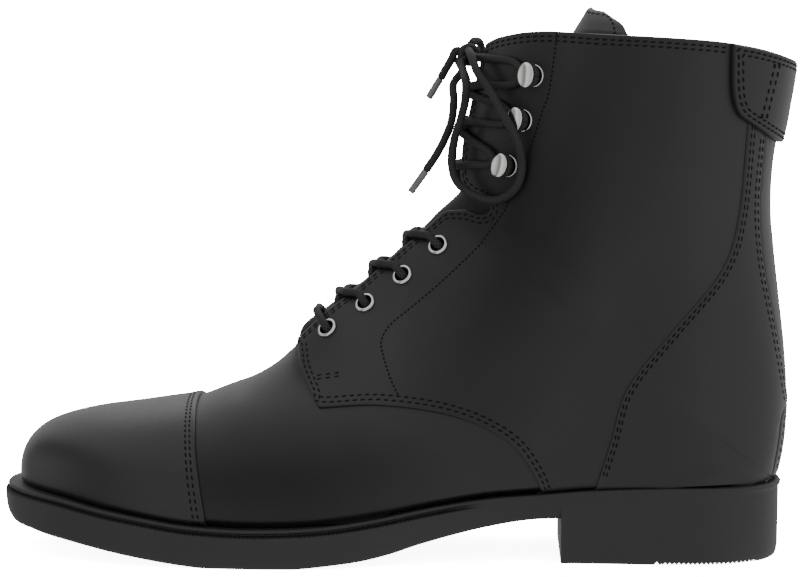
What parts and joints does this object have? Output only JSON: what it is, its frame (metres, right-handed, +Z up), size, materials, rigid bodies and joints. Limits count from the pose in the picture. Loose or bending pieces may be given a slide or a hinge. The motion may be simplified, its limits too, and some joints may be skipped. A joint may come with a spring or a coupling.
{
  "type": "lace-up boot",
  "caption": "Ankle-high lace-up leather boot with toe cap, lacing eyelets and hooks, padded rear cuff and a low-heeled rubber sole.",
  "frame": {"origin": "floor under the middle of the boot's box", "axes": "+X from toe to heel, +Y from the outer to the inner side, +Z up"},
  "size_m": [0.306, 0.105, 0.2093],
  "materials": {
    "sole_rubber": "matt moulded rubber",
    "lining": "dark lining",
    "upper_leather": "satin smooth black leather",
    "tongue_leather": "satin smooth black leather",
    "panel_leather": "satin smooth black leather, stitched edges",
    "nickel": "polished nickel plate",
    "lace_cord": "round braided cord",
    "lace_tip": "smooth lace tips"
  },
  "bodies": {
    "root": {"outsole": "sole_rubber", "insole": "lining", "upper": "upper_leather", "tongue": "tongue_leather", "toe_cap": "panel_leather", "quarter_outer": "panel_leather", "quarter_inner": "panel_leather", "counter_outer": "panel_leather", "counter_inner": "panel_leather", "back_strip": "panel_leather", "heel_tab": "panel_leather", "cuff": "panel_leather", "eyelet_outer_1": "nickel", "eyelet_outer_2": "nickel", "eyelet_outer_3": "nickel", "eyelet_outer_4": "nickel", "eyelet_inner_1": "nickel", "eyelet_inner_2": "nickel", "eyelet_inner_3": "nickel", "eyelet_inner_4": "nickel", "hook_outer_1": "nickel", "hook_outer_2": "nickel", "hook_outer_3": "nickel", "hook_inner_1": "nickel", "hook_inner_2": "nickel", "hook_inner_3": "nickel", "lace_bar": "lace_cord", "lace_cross_1": "lace_cord", "lace_cross_2": "lace_cord", "lace_cross_3": "lace_cord", "lace_cross_4": "lace_cord", "lace_cross_5": "lace_cord", "lace_cross_6": "lace_cord", "lace_tie_outer": "lace_cord", "lace_tie_inner": "lace_cord", "lace_knot": "lace_cord", "lace_loop_near": "lace_cord", "lace_loop_far": "lace_cord", "lace_end_long": "lace_cord", "lace_end_short": "lace_cord", "lace_tip_long": "lace_tip", "lace_tip_short": "lace_tip"}
  },
  "joints": []
}
